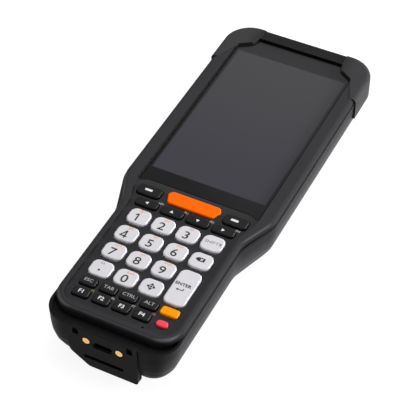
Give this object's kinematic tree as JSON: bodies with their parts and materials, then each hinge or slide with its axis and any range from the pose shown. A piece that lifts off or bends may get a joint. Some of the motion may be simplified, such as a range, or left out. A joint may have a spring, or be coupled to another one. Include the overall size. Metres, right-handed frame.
{
  "type": "portable barcode data terminal",
  "caption": "Hand-held barcode data terminal: display in a wide head over a narrower keypad grip, scan window in the top end, hinged battery door on the flat back.",
  "frame": {"origin": "centre of the footprint, on the flat back", "axes": "+X to the user's right, +Y from the keypad to the head, +Z out of the face"},
  "size_m": [0.0732, 0.1996, 0.0252],
  "materials": {
    "housing": "fine matt texture, charcoal grey",
    "bumper": "matt soft-touch rubber, charcoal grey",
    "seal": "matt black",
    "screw": "blackened steel",
    "glass": "clear hardened glass with a dark border",
    "display": "dark, switched off",
    "white_key": "satin white",
    "black_key": "satin black",
    "orange_key": "satin orange",
    "amber_key": "satin amber",
    "red_key": "satin red",
    "board": "green solder mask",
    "chassis": "satin",
    "speaker": "black",
    "engine": "black",
    "window": "dark red tinted",
    "battery": "black",
    "contact": "gold plated",
    "socket": "nickel plated"
  },
  "bodies": {
    "terminal": {"front_housing": "housing", "rear_housing": "housing", "corner_bumper_left": "bumper", "corner_bumper_right": "bumper", "housing_seal": "seal", "housing_screws": "screw", "cover_glass": "glass", "display_gasket": "seal", "display_module": "display", "keypad_mat": "seal", "keypad_board": "board", "chassis_frame": "chassis", "main_board": "board", "speaker": "speaker", "scan_engine": "engine", "scan_window": "window", "battery_pack": "battery", "battery_contact_block": "contact", "battery_hinge_pin": "screw", "contact_panel": "housing", "charge_contacts": "contact", "usb_socket": "socket", "io_board": "board"},
    "key_0": {"key_0": "white_key"},
    "key_1": {"key_1": "white_key"},
    "key_2": {"key_2": "white_key"},
    "key_3": {"key_3": "white_key"},
    "key_4": {"key_4": "white_key"},
    "key_5": {"key_5": "white_key"},
    "key_6": {"key_6": "white_key"},
    "key_7": {"key_7": "white_key"},
    "key_8": {"key_8": "white_key"},
    "key_9": {"key_9": "white_key"},
    "key_point": {"key_point": "white_key"},
    "key_star": {"key_star": "white_key"},
    "key_shift": {"key_shift": "white_key"},
    "key_backspace": {"key_backspace": "white_key"},
    "key_enter": {"key_enter": "white_key"},
    "key_esc": {"key_esc": "black_key"},
    "key_tab": {"key_tab": "black_key"},
    "key_ctrl": {"key_ctrl": "black_key"},
    "key_alt": {"key_alt": "black_key"},
    "key_f1": {"key_f1": "black_key"},
    "key_f2": {"key_f2": "black_key"},
    "key_f3": {"key_f3": "black_key"},
    "key_f4": {"key_f4": "black_key"},
    "key_mode": {"key_mode": "amber_key"},
    "key_power": {"key_power": "red_key"},
    "key_scan": {"key_scan": "orange_key"},
    "key_soft_left": {"key_soft_left": "black_key"},
    "key_soft_right": {"key_soft_right": "black_key"},
    "key_left": {"key_left": "black_key"},
    "key_up": {"key_up": "black_key"},
    "key_down": {"key_down": "black_key"},
    "key_right": {"key_right": "black_key"},
    "battery_door": {"battery_door": "housing"},
    "battery_latch": {"battery_latch": "housing"}
  },
  "joints": [
    {"name": "key_0_press", "type": "slide", "parent": "terminal", "child": "key_0", "axis": [0, 0, -1], "range_m": [0, 0.0006], "stiffness_N_per_m": 1500},
    {"name": "key_1_press", "type": "slide", "parent": "terminal", "child": "key_1", "axis": [0, 0, -1], "range_m": [0, 0.0006], "stiffness_N_per_m": 1500},
    {"name": "key_2_press", "type": "slide", "parent": "terminal", "child": "key_2", "axis": [0, 0, -1], "range_m": [0, 0.0006], "stiffness_N_per_m": 1500},
    {"name": "key_3_press", "type": "slide", "parent": "terminal", "child": "key_3", "axis": [0, 0, -1], "range_m": [0, 0.0006], "stiffness_N_per_m": 1500},
    {"name": "key_4_press", "type": "slide", "parent": "terminal", "child": "key_4", "axis": [0, 0, -1], "range_m": [0, 0.0006], "stiffness_N_per_m": 1500},
    {"name": "key_5_press", "type": "slide", "parent": "terminal", "child": "key_5", "axis": [0, 0, -1], "range_m": [0, 0.0006], "stiffness_N_per_m": 1500},
    {"name": "key_6_press", "type": "slide", "parent": "terminal", "child": "key_6", "axis": [0, 0, -1], "range_m": [0, 0.0006], "stiffness_N_per_m": 1500},
    {"name": "key_7_press", "type": "slide", "parent": "terminal", "child": "key_7", "axis": [0, 0, -1], "range_m": [0, 0.0006], "stiffness_N_per_m": 1500},
    {"name": "key_8_press", "type": "slide", "parent": "terminal", "child": "key_8", "axis": [0, 0, -1], "range_m": [0, 0.0006], "stiffness_N_per_m": 1500},
    {"name": "key_9_press", "type": "slide", "parent": "terminal", "child": "key_9", "axis": [0, 0, -1], "range_m": [0, 0.0006], "stiffness_N_per_m": 1500},
    {"name": "key_point_press", "type": "slide", "parent": "terminal", "child": "key_point", "axis": [0, 0, -1], "range_m": [0, 0.0006], "stiffness_N_per_m": 1500},
    {"name": "key_star_press", "type": "slide", "parent": "terminal", "child": "key_star", "axis": [0, 0, -1], "range_m": [0, 0.0006], "stiffness_N_per_m": 1500},
    {"name": "key_shift_press", "type": "slide", "parent": "terminal", "child": "key_shift", "axis": [0, 0, -1], "range_m": [0, 0.0006], "stiffness_N_per_m": 1500},
    {"name": "key_backspace_press", "type": "slide", "parent": "terminal", "child": "key_backspace", "axis": [0, 0, -1], "range_m": [0, 0.0006], "stiffness_N_per_m": 1500},
    {"name": "key_enter_press", "type": "slide", "parent": "terminal", "child": "key_enter", "axis": [0, 0, -1], "range_m": [0, 0.0006], "stiffness_N_per_m": 1500},
    {"name": "key_esc_press", "type": "slide", "parent": "terminal", "child": "key_esc", "axis": [0, 0, -1], "range_m": [0, 0.0006], "stiffness_N_per_m": 1500},
    {"name": "key_tab_press", "type": "slide", "parent": "terminal", "child": "key_tab", "axis": [0, 0, -1], "range_m": [0, 0.0006], "stiffness_N_per_m": 1500},
    {"name": "key_ctrl_press", "type": "slide", "parent": "terminal", "child": "key_ctrl", "axis": [0, 0, -1], "range_m": [0, 0.0006], "stiffness_N_per_m": 1500},
    {"name": "key_alt_press", "type": "slide", "parent": "terminal", "child": "key_alt", "axis": [0, 0, -1], "range_m": [0, 0.0006], "stiffness_N_per_m": 1500},
    {"name": "key_f1_press", "type": "slide", "parent": "terminal", "child": "key_f1", "axis": [0, 0, -1], "range_m": [0, 0.0006], "stiffness_N_per_m": 1500},
    {"name": "key_f2_press", "type": "slide", "parent": "terminal", "child": "key_f2", "axis": [0, 0, -1], "range_m": [0, 0.0006], "stiffness_N_per_m": 1500},
    {"name": "key_f3_press", "type": "slide", "parent": "terminal", "child": "key_f3", "axis": [0, 0, -1], "range_m": [0, 0.0006], "stiffness_N_per_m": 1500},
    {"name": "key_f4_press", "type": "slide", "parent": "terminal", "child": "key_f4", "axis": [0, 0, -1], "range_m": [0, 0.0006], "stiffness_N_per_m": 1500},
    {"name": "key_mode_press", "type": "slide", "parent": "terminal", "child": "key_mode", "axis": [0, 0, -1], "range_m": [0, 0.0006], "stiffness_N_per_m": 1500},
    {"name": "key_power_press", "type": "slide", "parent": "terminal", "child": "key_power", "axis": [0, 0, -1], "range_m": [0, 0.0006], "stiffness_N_per_m": 1500},
    {"name": "key_scan_press", "type": "slide", "parent": "terminal", "child": "key_scan", "axis": [0, 0, -1], "range_m": [0, 0.0006], "stiffness_N_per_m": 1500},
    {"name": "key_soft_left_press", "type": "slide", "parent": "terminal", "child": "key_soft_left", "axis": [0, 0, -1], "range_m": [0, 0.0006], "stiffness_N_per_m": 1500},
    {"name": "key_soft_right_press", "type": "slide", "parent": "terminal", "child": "key_soft_right", "axis": [0, 0, -1], "range_m": [0, 0.0006], "stiffness_N_per_m": 1500},
    {"name": "key_left_press", "type": "slide", "parent": "terminal", "child": "key_left", "axis": [0, 0, -1], "range_m": [0, 0.0006], "stiffness_N_per_m": 1500},
    {"name": "key_up_press", "type": "slide", "parent": "terminal", "child": "key_up", "axis": [0, 0, -1], "range_m": [0, 0.0006], "stiffness_N_per_m": 1500},
    {"name": "key_down_press", "type": "slide", "parent": "terminal", "child": "key_down", "axis": [0, 0, -1], "range_m": [0, 0.0006], "stiffness_N_per_m": 1500},
    {"name": "key_right_press", "type": "slide", "parent": "terminal", "child": "key_right", "axis": [0, 0, -1], "range_m": [0, 0.0006], "stiffness_N_per_m": 1500},
    {"name": "battery_door_hinge", "type": "hinge", "parent": "terminal", "child": "battery_door", "pos_m": [0, -0.08705, 0.001], "axis": [1, 0, 0], "range_deg": [-85, 0]},
    {"name": "battery_latch_slide", "type": "slide", "parent": "battery_door", "child": "battery_latch", "axis": [0, -1, 0], "range_m": [0, 0.002], "stiffness_N_per_m": 300}
  ]
}
